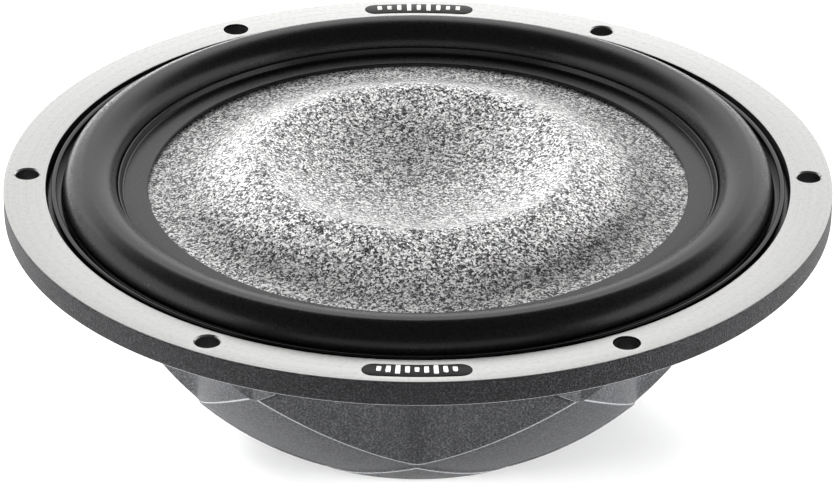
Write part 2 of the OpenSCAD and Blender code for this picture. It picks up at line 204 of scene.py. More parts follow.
def new_material(name, colour, roughness, metallic=0.0, **sockets):
    """A material with a plain shader, and its tree and shader to build on."""
    material = bpy.data.materials.new(name)
    material.use_nodes = True
    tree = material.node_tree
    shader = tree.nodes["Principled BSDF"]
    shader.inputs["Base Color"].default_value = linear(colour)
    shader.inputs["Roughness"].default_value = roughness
    shader.inputs["Metallic"].default_value = metallic
    for key, value in sockets.items():
        shader.inputs[key.replace("_", " ")].default_value = value
    return material, tree, shader


def per_metre(millimetres):
    """The scale of a pattern whose features are this far apart."""
    return 1000 / millimetres


def colour_steps(tree, factor, stops):
    """A colour ramp over (position, hex colour) stops."""
    ramp = add_node(tree, "ShaderNodeValToRGB", {"Fac": factor})
    band = ramp.color_ramp
    while len(band.elements) < len(stops):
        band.elements.new(0.5)
    for element, (position, colour) in zip(band.elements, stops):
        element.position = position
        element.color = linear(colour)
    return ramp.outputs["Color"]


def value_range(tree, value, low, high):
    """A 0 to 1 value spread between low and high."""
    spread = add_node(tree, "ShaderNodeMapRange", {"Value": value, "To Min": low, "To Max": high})
    return spread.outputs["Result"]


def bump(tree, shader, height, distance):
    """Bumps the shader's surface by distance millimetres over the height's range."""
    made = add_node(tree, "ShaderNodeBump", {"Height": height, "Distance": distance * MM, "Strength": 1.0})
    tree.links.new(made.outputs["Normal"], shader.inputs["Normal"])


def object_place(tree):
    return add_node(tree, "ShaderNodeTexCoord").outputs["Object"]


def turned_place(tree):
    """The place on a turned part as (distance from the axis, 0, height)."""
    parts = add_node(tree, "ShaderNodeSeparateXYZ", {"Vector": object_place(tree)})
    flat = add_node(tree, "ShaderNodeCombineXYZ", {"X": parts.outputs["X"], "Y": parts.outputs["Y"]})
    radius = add_node(tree, "ShaderNodeVectorMath", {0: flat.outputs["Vector"]}, operation="LENGTH")
    place = add_node(tree, "ShaderNodeCombineXYZ", {"X": radius.outputs["Value"], "Z": parts.outputs["Z"]})
    return place.outputs["Vector"]


def machined_aluminium():
    """Cast aluminium faced on a lathe: pale, satin, with fine rings round the axis.

    A real tool leaves rings about 0.1 mm apart. They are drawn wider, to show.
    """
    material, tree, shader = new_material("machined_aluminium", "#e4e4e2", 0.34, 1.0, Anisotropic=0.5)
    rings = add_node(tree, "ShaderNodeTexNoise",
                     {"Vector": turned_place(tree), "Scale": per_metre(0.9), "Detail": 3.0, "Roughness": 0.7})
    cloud = add_node(tree, "ShaderNodeTexNoise",
                     {"Vector": object_place(tree), "Scale": per_metre(1.2), "Detail": 4.0})
    mixed = add_node(tree, "ShaderNodeMath", {0: rings.outputs["Fac"], 1: cloud.outputs["Fac"]},
                     operation="ADD")
    half = add_node(tree, "ShaderNodeMath", {0: mixed.outputs["Value"], 1: 0.5}, operation="MULTIPLY")
    colour = colour_steps(tree, half.outputs["Value"],
                          [(0.3, "#cfcfce"), (0.5, "#e6e6e4"), (0.7, "#f2f2f0")])
    tree.links.new(colour, shader.inputs["Base Color"])
    tree.links.new(value_range(tree, half.outputs["Value"], 0.24, 0.44), shader.inputs["Roughness"])
    bump(tree, shader, rings.outputs["Fac"], 0.012)
    return material


def powder_coat(name, colours, grain, depth, shine):
    """Baked powder coat: a dark satin skin with an orange-peel grain, its lumps grain millimetres wide."""
    material, tree, shader = new_material(name, colours[1], 0.5, Specular_IOR_Level=shine)
    place = object_place(tree)
    peel = add_node(tree, "ShaderNodeTexNoise",
                    {"Vector": place, "Scale": per_metre(grain), "Detail": 3.0, "Roughness": 0.6})
    colour = colour_steps(tree, peel.outputs["Fac"],
                          [(0.35, colours[0]), (0.5, colours[1]), (0.66, colours[2])])
    tree.links.new(colour, shader.inputs["Base Color"])
    tree.links.new(value_range(tree, peel.outputs["Fac"], 0.62, 0.42), shader.inputs["Roughness"])
    bump(tree, shader, peel.outputs["Fac"], depth)
    return material


def moulded_rubber():
    """Butyl rubber moulding: near black, satin, with a faint mould grain."""
    material, tree, shader = new_material("moulded_rubber", "#070708", 0.28, Specular_IOR_Level=0.62)
    grain = add_node(tree, "ShaderNodeTexNoise",
                     {"Vector": object_place(tree), "Scale": per_metre(0.8), "Detail": 3.0})
    tree.links.new(colour_steps(tree, grain.outputs["Fac"], [(0.3, "#050506"), (0.7, "#0a0a0b")]),
                   shader.inputs["Base Color"])
    tree.links.new(value_range(tree, grain.outputs["Fac"], 0.24, 0.33), shader.inputs["Roughness"])
    bump(tree, shader, grain.outputs["Fac"], 0.02)
    return material


def speckled_fibre():
    """Pressed glass and foam sandwich: short silvery fibres over dark resin, under a thin clear coat."""
    material, tree, shader = new_material("speckled_fibre", "#b0b0b0", 0.5, 0.25, Coat_Weight=0.15,
                                          Coat_Roughness=0.35)
    place = object_place(tree)
    drift = add_node(tree, "ShaderNodeTexNoise", {"Vector": place, "Scale": per_metre(0.9), "Detail": 2.0})
    pushed = add_node(tree, "ShaderNodeVectorMath", {0: drift.outputs["Color"], "Scale": 1.2 * MM},
                      operation="SCALE")
    bent = add_node(tree, "ShaderNodeVectorMath", {0: place, 1: pushed.outputs["Vector"]}, operation="ADD")
    flakes = add_node(tree, "ShaderNodeTexVoronoi",
                      {"Vector": bent.outputs["Vector"], "Scale": per_metre(0.46)})
    shade = add_node(tree, "ShaderNodeSeparateColor", {"Color": flakes.outputs["Color"]})
    fine = add_node(tree, "ShaderNodeTexNoise",
                    {"Vector": place, "Scale": per_metre(0.6), "Detail": 4.0, "Roughness": 0.8})
    both = add_node(tree, "ShaderNodeMix", {0: 0.45, 2: shade.outputs["Red"], 3: fine.outputs["Fac"]})
    colour = colour_steps(tree, both.outputs[0],
                          [(0.26, "#0e0e10"), (0.4, "#565658"), (0.52, "#a8a8a9"), (0.68, "#f4f4f2")])
    tree.links.new(colour, shader.inputs["Base Color"])
    bump(tree, shader, both.outputs[0], 0.05)
    return material


def gloss_black():
    """Injection moulded trim, polished: piano black."""
    material, tree, shader = new_material("gloss_black", "#060607", 0.12, IOR=1.5)
    swirl = add_node(tree, "ShaderNodeTexNoise",
                     {"Vector": object_place(tree), "Scale": per_metre(9), "Detail": 2.0})
    tree.links.new(value_range(tree, swirl.outputs["Fac"], 0.08, 0.18), shader.inputs["Roughness"])
    return material


def plain_finish(name, colours, roughness, metallic, grain, depth, **sockets):
    """A surface with a cloudy change of colour and a fine grain."""
    material, tree, shader = new_material(name, colours[0], roughness, metallic, **sockets)
    cloud = add_node(tree, "ShaderNodeTexNoise",
                     {"Vector": object_place(tree), "Scale": per_metre(grain), "Detail": 4.0})
    tree.links.new(colour_steps(tree, cloud.outputs["Fac"], [(0.35, colours[0]), (0.65, colours[1])]),
                   shader.inputs["Base Color"])
    tree.links.new(value_range(tree, cloud.outputs["Fac"], roughness - 0.06, roughness + 0.06),
                   shader.inputs["Roughness"])
    bump(tree, shader, cloud.outputs["Fac"], depth)
    return material


def wound_copper(name, pitch):
    """Round copper wire laid side by side: a ridge for each turn, at the pitch in millimetres."""
    material, tree, shader = new_material(name, "#b4683a", 0.34, 1.0)
    parts = add_node(tree, "ShaderNodeSeparateXYZ", {"Vector": object_place(tree)})
    turns = add_node(tree, "ShaderNodeMath", {0: parts.outputs["Z"], 1: math.tau * per_metre(pitch)},
                     operation="MULTIPLY")
    ridge = add_node(tree, "ShaderNodeMath", {0: turns.outputs["Value"]}, operation="SINE")
    cloud = add_node(tree, "ShaderNodeTexNoise", {"Vector": object_place(tree), "Scale": per_metre(2.0)})
    tree.links.new(colour_steps(tree, cloud.outputs["Fac"], [(0.35, "#a65a30"), (0.65, "#c0764a")]),
                   shader.inputs["Base Color"])
    bump(tree, shader, ridge.outputs["Value"], 0.08)
    return material


# ---------------------------------------------------------------- modelling by hand

def deselect():
    """Leaves edit mode and selects nothing."""
    if bpy.context.object and bpy.context.object.mode != "OBJECT":
        bpy.ops.object.mode_set(mode="OBJECT")
    bpy.ops.object.select_all(action="DESELECT")


def only(piece):
    deselect()
    piece.select_set(True)
    bpy.context.view_layer.objects.active = piece


def tidy_mesh(piece, sharp=30):
    """Closes seams and poles, turns the faces outwards and shades smooth up to the sharp angle."""
    only(piece)
    bpy.ops.object.mode_set(mode="EDIT")
    bpy.ops.mesh.select_all(action="SELECT")
    bpy.ops.mesh.remove_doubles(threshold=WELD)
    bpy.ops.mesh.normals_make_consistent(inside=False)
    bpy.ops.object.mode_set(mode="OBJECT")
    bpy.ops.object.shade_smooth_by_angle(angle=math.radians(sharp))


def turned(name, outline, steps=288, closed=True):
    """A lathe part: an outline of (radius, height) points, spun once round the axis."""
    deselect()
    bpy.ops.mesh.primitive_circle_add(vertices=len(outline), radius=1)
    piece = bpy.context.object
    piece.name = name
    for vertex, (radius, height) in zip(piece.data.vertices, outline):
        vertex.co = (radius * MM, 0, FACE_Z + height * MM)
    bpy.ops.object.mode_set(mode="EDIT")
    if not closed:
        shape = bmesh.from_edit_mesh(piece.data)
        shape.verts.ensure_lookup_table()
        ends = {shape.verts[0], shape.verts[-1]}
        gap = [e for e in shape.edges if set(e.verts) == ends]
        bmesh.ops.delete(shape, geom=gap, context="EDGES")
        bmesh.update_edit_mesh(piece.data)
    bpy.ops.mesh.select_all(action="SELECT")
    bpy.ops.mesh.spin(steps=steps, angle=math.tau, center=(0, 0, 0), axis=(0, 0, 1), use_auto_merge=True)
    tidy_mesh(piece)
    return piece


def ringed(name, rings, columns):
    """A shell of rings. Each ring is extruded from the last, then moved to its (radius, height) by turn."""
    deselect()
    bpy.ops.mesh.primitive_circle_add(vertices=columns, radius=1)
    piece = bpy.context.object
    piece.name = name
    bpy.ops.object.mode_set(mode="EDIT")
    bpy.ops.mesh.select_all(action="SELECT")
    for number, ring in enumerate(rings):
        if number:
            bpy.ops.mesh.extrude_edges_move()
        shape = bmesh.from_edit_mesh(piece.data)
        for vertex in shape.verts:
            if vertex.select:
                turn = math.atan2(vertex.co.y, vertex.co.x)
                radius, height = ring(turn)
                vertex.co = (radius * MM * math.cos(turn), radius * MM * math.sin(turn), FACE_Z + height * MM)
        bmesh.update_edit_mesh(piece.data)
    return piece


def rounded(corner, before, after, radius, steps=4):
    """Points of a round corner, between the directions to the corners before and after it."""
    c, a, b = Vector(corner), Vector(before), Vector(after)
    to_a, to_b = (a - c).normalized(), (b - c).normalized()
    start, end = c + to_a * radius, c + to_b * radius
    return [tuple((1 - t) ** 2 * start + 2 * t * (1 - t) * c + t * t * end)
            for t in (i / steps for i in range(steps + 1))]


def softened(outline, radii):
    """The outline with the corners in radii, by their number, rounded."""
    points = []
    for i, corner in enumerate(outline):
        if i in radii:
            points += rounded(corner, outline[i - 1], outline[(i + 1) % len(outline)], radii[i])
        else:
            points.append(corner)
    return points


def eased(share):
    """The share held between 0 and 1, and slow at both ends."""
    share = min(1.0, max(0.0, share))
    return share * share * (3 - 2 * share)


def cut(piece, cutter):
    """Takes the cutter's shape out of the piece, and removes the cutter."""
    only(piece)
    made = piece.modifiers.new("cut", "BOOLEAN")
    made.operation, made.object, made.solver = "DIFFERENCE", cutter, "EXACT"
    bpy.ops.object.modifier_apply(modifier=made.name)
    bpy.data.objects.remove(cutter)


def bevelled(piece, width, segments=2, angle=35):
    """Rounds the piece's edges by width millimetres."""
    only(piece)
    made = piece.modifiers.new("bevel", "BEVEL")
    made.width, made.segments, made.angle_limit = width * MM, segments, math.radians(angle)
    made.limit_method = "ANGLE"
    bpy.ops.object.modifier_apply(modifier=made.name)
    bpy.ops.object.shade_smooth_by_angle(angle=math.radians(angle))


def join(pieces, name):
    deselect()
    for piece in pieces:
        piece.select_set(True)
    bpy.context.view_layer.objects.active = pieces[0]
    bpy.ops.object.join()
    pieces[0].name = name
    return pieces[0]


def settle(piece):
    """Moves the piece's place into its mesh."""
    only(piece)
    bpy.ops.object.transform_apply(location=True, rotation=True, scale=True)


def cylinder(radius, low, high, at, sides):
    """A plain drum between two heights, used as a cutter or as a start."""
    deselect()
    bpy.ops.mesh.primitive_cylinder_add(
        vertices=sides, radius=radius * MM, depth=(high - low) * MM,
        location=(at[0] * MM, at[1] * MM, FACE_Z + (high + low) / 2 * MM))
    piece = bpy.context.object
    settle(piece)
    return piece


def give(piece, name, body, slot, *nodes):
    """Names a finished piece, and says what it moves with and the nodes it stands for. The slot is not used.
    """
    piece.name = name
    piece.data.name = name
    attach(piece, body)
    if nodes:
        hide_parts(*nodes)


# ---------------------------------------------------------------- basket

def petal_reach(away):
    """Radius at which a petal's circle stands, at an angle away from the petal's own direction."""
    return PETAL_OFFSET * math.cos(away) + math.sqrt(PETAL_R ** 2 - (PETAL_OFFSET * math.sin(away)) ** 2)


def from_petal(turn):
    """Angle from the nearest petal's direction, 0 to 30 degrees."""
    return abs((turn - math.radians(30) + SIXTH / 2) % SIXTH - SIXTH / 2)


def outer_reach(turn):
    """The neck's outline: the outermost of the six petal circles."""
    return petal_reach(from_petal(turn))


def star_reach(turn):
    """The star's outline, with its six inner creases slightly rounded."""
    softness = math.radians(1.2)
    return petal_reach(SIXTH - math.hypot(from_petal(turn), softness))


def inner_reach(turn):
    """The outline of the belly: the innermost crossing of the petal circles."""
    return petal_reach(SIXTH + from_petal(turn))


def ball_height(radius, sunk=0.0):
    """Height of the bowl's ball at a radius, sunk inwards by so much."""
    return BALL_CENTRE - math.sqrt((BALL_R - sunk) ** 2 - radius ** 2)


def ball_radius(height):
    """Radius of the bowl's ball at a height."""
    return math.sqrt(BALL_R ** 2 - (BALL_CENTRE - height) ** 2)


def make_bowl():
    """The closed shell of the bowl: neck, star-shaped wall, facets, bottom and the hollow for the motor."""
    edge = 0.18
    inward = 0.2
    lip = 0.15
    foot_r = ball_radius(BOTTOM)

    def neck(height, less=0.0):
        return lambda turn: (min(outer_reach(turn), ball_radius(height)) - less, height)

    def wall(share):
        def place(turn):
            radius = star_reach(turn)
            low = ball_height(radius, FACET_STEP) + edge
            return radius, NECK_END + (low - NECK_END) * share
        return place

    def facet(share):
        """Across the ball from the star's edge to the inner circles."""
        def place(turn):
            outer, inner = star_reach(turn) - inward, inner_reach(turn) + lip
            radius = outer + (inner - outer) * share
            return radius, ball_height(radius, FACET_STEP)
        return place

    def belly(share):
        """Down the ball from the inner circles to the bottom."""
        def place(turn):
            outer = inner_reach(turn) - inward
            radius = outer + (foot_r + 0.5 - outer) * share
            return radius, ball_height(radius)
        return place

    def plain(radius, height):
        return lambda turn: (radius, height)

    rings = [neck(SPIGOT_END + 0.8), neck((SPIGOT_END + NECK_END) / 2), neck(NECK_END + edge)]
    rings += [neck(NECK_END, edge)]
    rings += [wall(i / 6) for i in range(7)]
    rings += [facet(i / 8) for i in range(9)]
    rings += [lambda turn: (inner_reach(turn) - 0.1, ball_height(inner_reach(turn)) + 0.18)]
    rings += [belly(i / 10) for i in range(11)]
    rings += [plain(foot_r - 0.1, BOTTOM + 0.22), plain(foot_r - 0.7, BOTTOM)]
    rings += [plain(radius, BOTTOM) for radius in (SCREW_CIRCLE_R, 22, VENT_R + 0.3)]
    vent = [(VENT_R, BOTTOM + 0.3), (VENT_R, VENT_SEAT), (8, VENT_SEAT), (8, BOTTOM_INSIDE)]
    motor_room = [(30, BOTTOM_INSIDE), (MOTOR_R, BOTTOM_INSIDE), (MOTOR_R, -59)]
    motor_room += [(58, -45), (58, -27), (55, -24)]
    spider_seat = [(55, SPIDER_SEAT), (62, SPIDER_SEAT), (62, -13)]
    neck_inside = [(NECK_INNER_R, -13), (NECK_INNER_R, SPIGOT_END + 0.8)]
    rings += [plain(*spot) for spot in vent + motor_room + spider_seat + neck_inside]
    rings += [rings[0]]
    bowl = ringed("bowl", rings, 360)
    tidy_mesh(bowl, 24)
    return bowl


def make_gusset():
    """One gusset between the neck and the bowl, in line with a mounting hole, pointing along X."""
    half_w, flat_half_w, root, top = 7.5, 0.8, 73.0, -14.0
    lowest, rise, edge = -27.2, 4.6, 0.18
    columns = 24

    def section(aside):
        """Down the front face, round the lower edge and back along the underside."""
        off = abs(aside) - PETAL_OFFSET * math.sin(math.radians(30))
        x = PETAL_OFFSET * math.cos(math.radians(30)) + math.sqrt(PETAL_R ** 2 - off ** 2)
        low = lowest + rise * max(0.0, abs(aside) - flat_half_w) / (half_w - flat_half_w)
        front = [(x, top), (x, (low + top) / 2), (x, low + edge), (x - edge, low)]
        return [(root, top)] + front + [(root, low), (root, top)]

    rows = len(section(0.0))
    deselect()
    bpy.ops.mesh.primitive_grid_add(x_subdivisions=columns, y_subdivisions=rows - 1, size=2)
    piece = bpy.context.object
    for vertex in piece.data.vertices:
        aside = vertex.co.x * half_w
        x, height = section(aside)[round((vertex.co.y + 1) / 2 * (rows - 1))]
        vertex.co = (x * MM, aside * MM, FACE_Z + height * MM)
    only(piece)
    bpy.ops.object.mode_set(mode="EDIT")
    bpy.ops.mesh.select_all(action="SELECT")
    bpy.ops.mesh.remove_doubles(threshold=WELD)
    bpy.ops.mesh.fill_holes(sides=0)
    tidy_mesh(piece, 24)
    return piece


def copies_round(piece, count):
    """Copies of the piece round the axis, each with its own mesh, the piece itself being the first."""
    made = []
    for i in range(count):
        copy = piece if i == 0 else piece.copy()
        if i:
            copy.data = piece.data.copy()
            bpy.context.scene.collection.objects.link(copy)
        made.append(copy)
    for i, copy in enumerate(made):
        copy.data.transform(Matrix.Rotation(i * math.tau / count, 4, "Z"))
    return made


def arc_pill(name, length, width, low, high, turn):
    """A pill-shaped plate that follows the flange, its middle at turn."""
    deselect()
    sides = 96
    bpy.ops.mesh.primitive_circle_add(vertices=sides, radius=1, fill_type="NGON")
    piece = bpy.context.object
    piece.name = name
    straight = length / 2 - width / 2
    around = [straight * 4, math.pi * width]
    for i, vertex in enumerate(piece.data.vertices):
        walk = i / sides * sum(around)
        if walk < straight * 2:
            along, out = -straight + walk, width / 2
        elif walk < straight * 2 + around[1] / 2:
            a = (walk - straight * 2) / (width / 2)
            along, out = straight + math.sin(a) * width / 2, math.cos(a) * width / 2
        elif walk < straight * 4 + around[1] / 2:
            along, out = straight - (walk - straight * 2 - around[1] / 2), -width / 2
        else:
            a = (walk - straight * 4 - around[1] / 2) / (width / 2)
            along, out = -straight - math.sin(a) * width / 2, -math.cos(a) * width / 2
        angle = turn - along / BADGE_R
        vertex.co = ((BADGE_R + out) * MM * math.cos(angle), (BADGE_R + out) * MM * math.sin(angle),
                     FACE_Z + low * MM)
    only(piece)
    bpy.ops.object.mode_set(mode="EDIT")
    bpy.ops.mesh.select_all(action="SELECT")
    bpy.ops.mesh.extrude_region_move(TRANSFORM_OT_translate={"value": (0, 0, (high - low) * MM)})
    bpy.ops.mesh.select_all(action="SELECT")
    bpy.ops.mesh.normals_make_consistent(inside=False)
    bpy.ops.object.mode_set(mode="OBJECT")
    return piece


def make_flange():
    """The flange: face, round-cornered rim, spigot, ledge for the surround, holes and badge seats."""
    outline = [(FACE_INNER_R, LEDGE), (FACE_INNER_R, 0), (FLANGE_R, 0), (FLANGE_R, -FLANGE_T),
               (GASKET_OUTER_R, -FLANGE_T), (GASKET_OUTER_R, -FLANGE_T + GASKET_T),
               (GASKET_INNER_R, -FLANGE_T + GASKET_T), (GASKET_INNER_R, -FLANGE_T), (SPIGOT_R, -FLANGE_T),
               (SPIGOT_R, SPIGOT_END), (79, SPIGOT_END), (79, -9), (88, -9), (88, LEDGE)]
    face_inside, face_rim, under_rim, spigot_end = 1, 2, 3, 9
    outline = softened(outline, {face_inside: 0.3, face_rim: 0.35, under_rim: 0.55, spigot_end: 0.4})
    flange = turned("flange", outline, 360)
    drill = cylinder(HOLE_R, -FLANGE_T - 1, 1, (BOLT_CIRCLE_R, 0), 40)
    for cutter in copies_round(drill, 6):
        cut(flange, cutter)
    chamfer = [(0, -0.35), (HOLE_R, -0.35), (HOLE_R + 0.5, 0.15), (0, 0.15)]
    countersink = turned("countersink", chamfer, 40, closed=False)
    countersink.data.transform(Matrix.Translation((BOLT_CIRCLE_R * MM, 0, 0)))
    for cutter in copies_round(countersink, 6):
        cut(flange, cutter)
    cut(flange, arc_pill("seat", FRONT_BADGE_L, BADGE_W, BADGE_DEPTH, 1, FRONT))
    cut(flange, arc_pill("seat", REAR_BADGE_L, BADGE_W, BADGE_DEPTH, 1, REAR))
    tidy_mesh(flange, 24)
    return flange


def paint_basket(basket, finish):
    """Machined face on top, coarse coat on the rim, finer coat on the bowl, painted highlights on edges and
    shade in holes.
    """
    slots = ["machined", "rim_coat", "bowl_coat", "painted_hole_shade", "painted_edge_highlight"]
    for name in slots:
        basket.data.materials.append(finish[name])
    under, rim = -FLANGE_T, FLANGE_R
    for face in basket.data.polygons:
        centre = face.center / MM
        height = centre.z - FACE_Z / MM
        radius = math.hypot(centre.x, centre.y)
        turn = math.atan2(centre.y, centre.x)
        sloping = 0.15 < abs(face.normal.z) < 0.9
        at_star = abs(radius - star_reach(turn)) < 0.4 and height < NECK_END - 1
        above_star = abs(height - ball_height(star_reach(turn), FACET_STEP))
        above_step = height - ball_height(inner_reach(turn))
        at_step = abs(radius - inner_reach(turn)) < 0.2 and -0.08 < above_step < 0.14
        at_gusset = radius > 79 and -27.6 < height < -22
        at_rim_foot = radius > rim - 0.6 and under - 0.2 < height < under + 0.35
        if face.normal.z > 0.7 and height > -0.2 and radius > FACE_INNER_R:
            name = "machined"
        # Chamfers under the star wall and the flange's lower rim get a pale painted highlight.
        elif at_rim_foot or at_star and sloping and above_star < 0.4:
            name = "painted_edge_highlight"
        # The gussets' sloping edges and the step round the belly get the same painted highlight.
        elif at_gusset and sloping or at_step:
            name = "painted_edge_highlight"
        elif height > under - 0.2 and radius > rim - 1.0:
            name = "rim_coat"
        # Walls of the holes and badge seats in the flange get painted shade: flat black.
        elif height > under + 0.1 and FACE_INNER_R + 0.5 < radius < rim - 1.0:
            name = "painted_hole_shade"
        else:
            name = "bowl_coat"
        face.material_index = slots.index(name)


def make_basket(finish):
    """The casting in one piece, with screw holes in its bottom and a seat for the terminal block."""
    bowl = make_bowl()
    gussets = copies_round(make_gusset(), 6)
    for turn in (45, 135, 225, 315):
        angle = math.radians(turn)
        place = (SCREW_CIRCLE_R * math.cos(angle), SCREW_CIRCLE_R * math.sin(angle))
        cut(bowl, cylinder(3.9, BOTTOM - 1, -63.4, place, 40))
    deselect()
    bpy.ops.mesh.primitive_cube_add(size=1, location=(0, 85.6 * MM, FACE_Z - 25.4 * MM))
    seat = bpy.context.object
    seat.scale = (30 * MM, 40 * MM, 18.2 * MM)
    settle(seat)
    cut(bowl, seat)
    flange = make_flange()
    basket = join([flange, bowl] + gussets, "basket_casting")
    paint_basket(basket, finish)
    give(basket, "basket_casting", BODY, "cast_basket", "basket")


# ---------------------------------------------------------------- soft parts and cone

def roll_outline():
    """Outline of the surround: outer foot, half roll with a creased crest, inner bead and flat band."""
    foot_top, thick, roll_base = -3.0, 1.0, -0.8
    crease_at, crease_h, crease_w = 1.5, 0.16, 0.22
    steps = 28
    outer, inner = [], []
    for i in range(steps + 1):
        along, up = math.cos(math.pi * i / steps), math.sin(math.pi * i / steps)
        lift = crease_h * math.exp(-((ROLL_HALF_W * along - crease_at) / crease_w) ** 2)
        outer.append((ROLL_R + ROLL_HALF_W * along, roll_base + ROLL_H * up + lift))
        inner.append((ROLL_R + (ROLL_HALF_W - thick) * along, roll_base + (ROLL_H - thick) * up))
    foot = [(97.3, LEDGE), (97.3, foot_top), (94.0, foot_top), (93.75, -1.75), (93.5, -1.5), (93.35, -1.25)]
    bead = [(79.2, -0.6), (78.9, -0.35), (78.6, -0.5), (78.35, -1.2), (78.1, -1.75), (77.8, -1.62),
            (77.5, BAND_TOP - 0.12), (77.0, BAND_TOP)]
    band = [(74.4, BAND_TOP), (BAND_INNER_R + 0.25, BAND_TOP), (BAND_INNER_R, BAND_TOP - 0.25),
            (BAND_INNER_R, BAND_TOP - thick), (79.9, BAND_TOP - thick)]
    return foot + outer + bead + band + inner[::-1] + [(92.3, LEDGE)]


def blend_by_radius(piece, outer, inner):
    """The piece holds to the frame beyond the outer radius and to the cone inside the inner one."""
    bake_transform(piece, BODY, MOVING, start=(outer * MM, 0, FACE_Z), end=(inner * MM, 0, FACE_Z))
    weights = piece.data.attributes["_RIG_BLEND"].data
    for vertex, weight in zip(piece.data.vertices, weights):
        weight.value = eased((outer - math.hypot(vertex.co.x, vertex.co.y) / MM) / (outer - inner))


def make_surround(rubber):
    """The surround, which bends between the frame and the cone."""
    held_beyond_r, carried_within_r = 93.0, 79.5
    surround = turned("surround_moulding", roll_outline())
    surround.data.materials.append(rubber)
    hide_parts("surround")
    blend_by_radius(surround, held_beyond_r, carried_within_r)


def slope_height(radius):
    """Height of the cone's outer slope."""
    steepness = 1.3
    share = ((BAND_INNER_R - radius) / (BAND_INNER_R - RIM_R)) ** steepness
    return CONE_EDGE_TOP + (RIM_TOP - CONE_EDGE_TOP) * eased(share)


def dish_height(radius):
    """Height of the dished centre, a parabola."""
    return DISH_LOW + (RIM_TOP - DISH_LOW) * (radius / RIM_R) ** 2


def rim_blend(radius):
    """Height of the cone's upper face, with the rim of the dish rounded over."""
    if radius >= BAND_INNER_R:
        return CONE_EDGE_TOP
    near = (radius - RIM_R) / RIM_SOFT
    if near <= -1:
        return dish_height(radius)
    if near >= 1:
        return slope_height(radius)
    share = (near + 1) / 2
    low, high = dish_height(RIM_R - RIM_SOFT), slope_height(RIM_R + RIM_SOFT)
    peak = RIM_TOP + 0.1
    return (1 - share) ** 2 * low + 2 * share * (1 - share) * peak + share ** 2 * high


def make_cone(fibre):
    """The cone: dish, rim and slope, as a shell of even thickness."""
    steps, slope_start = 24, RIM_R + 2.5
    radii = [RIM_R * i / steps for i in range(steps)]
    radii += [RIM_R + step for step in (-1.2, -0.8, -0.4, 0, 0.4, 0.8, 1.2)]
    radii += [slope_start + (BAND_INNER_R - slope_start) * i / steps for i in range(steps + 1)]
    radii.append(CONE_EDGE_R)
    top = [(radius, rim_blend(radius)) for radius in radii]
    under = [(radius, height - CONE_T) for radius, height in reversed(top)]
    cone = turned("cone_shell", top + under, closed=False)
    cone.data.materials.append(fibre)
    give(cone, "cone_shell", MOVING, "cone_sandwich", "cone")


def make_clamp_ring(gloss):
    """The thin trim that holds down the surround's foot, its two upper corners rounded."""
    inner_r, outer_r, low, high = 95.1, 96.5, -3, -0.2
    outline = [(inner_r, low), (outer_r, low), (outer_r, high), (inner_r, high)]
    ring = turned("clamp_trim", softened(outline, {2: 0.5, 3: 0.5}))
    ring.data.materials.append(gloss)
    give(ring, "clamp_trim", BODY, "gloss_black", "clamp_ring")


def make_gasket(foam):
    """The flat foam ring in the groove under the flange, its two lower corners rounded."""
    low, high = -FLANGE_T, -FLANGE_T + GASKET_T
    outline = [(GASKET_INNER_R, low), (GASKET_OUTER_R, low), (GASKET_OUTER_R, high), (GASKET_INNER_R, high)]
    gasket = turned("gasket_foam", softened(outline, {0: 0.2, 1: 0.2}), 192)
    gasket.data.materials.append(foam)
    give(gasket, "gasket_foam", BODY, "gasket_foam", "mounting_gasket")


def make_spider(cloth):
    """A sheet of dipped cotton pressed into rings, which bends between the frame and the coil."""
    start_r, end_r, waves, steps = 26.2, 55.0, 5, 10
    middle, wave_h, flat, thick = -20.2, 1.3, -21.5, 0.5
    held_beyond_r, carried_within_r = 55.0, 27.0
    top = []
    for i in range(waves * steps + 1):
        radius = start_r + (end_r - start_r) * i / (waves * steps)
        top.append((radius, middle - wave_h * math.cos(math.tau * i / steps)))
    top += [(55.6, flat), (61.5, flat)]
    under = [(radius, height - thick) for radius, height in reversed(top)]
    spider = turned("spider_cloth", top + under, 144)
    spider.data.materials.append(cloth)
    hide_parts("spider")
    blend_by_radius(spider, held_beyond_r, carried_within_r)


# Middle line of a lead, from its pin to the coil former.
LEAD_ROUTE = [(8, 57.5, -19.2), (8, 56, -19.1), (8, 54, -18.4), (7.9, 51.5, -17.1), (7.8, 49, -16),
              (7.6, 46, -15.2), (7.3, 42.5, -14.8), (7, 39, -14.6), (6.7, 36, -14.2), (6.3, 33, -13.5),
              (5.9, 30, -12.7), (5.5, 27.6, -12.2), (5.4, 26.1, -12.1)]


def smooth_route(points, parts=4):
    """A round curve through the points."""
    spots = [Vector(p) for p in points]
    spots = [spots[0] * 2 - spots[1]] + spots + [spots[-1] * 2 - spots[-2]]
    made = []
    for a, b, c, d in zip(spots, spots[1:], spots[2:], spots[3:]):
        for i in range(parts):
            u = i / parts
            made.append(0.5 * (2 * b + (c - a) * u + (2 * a - 5 * b + 4 * c - d) * u * u
                               + (3 * b - a - 3 * c + d) * u ** 3))
    return made + [spots[-2]]


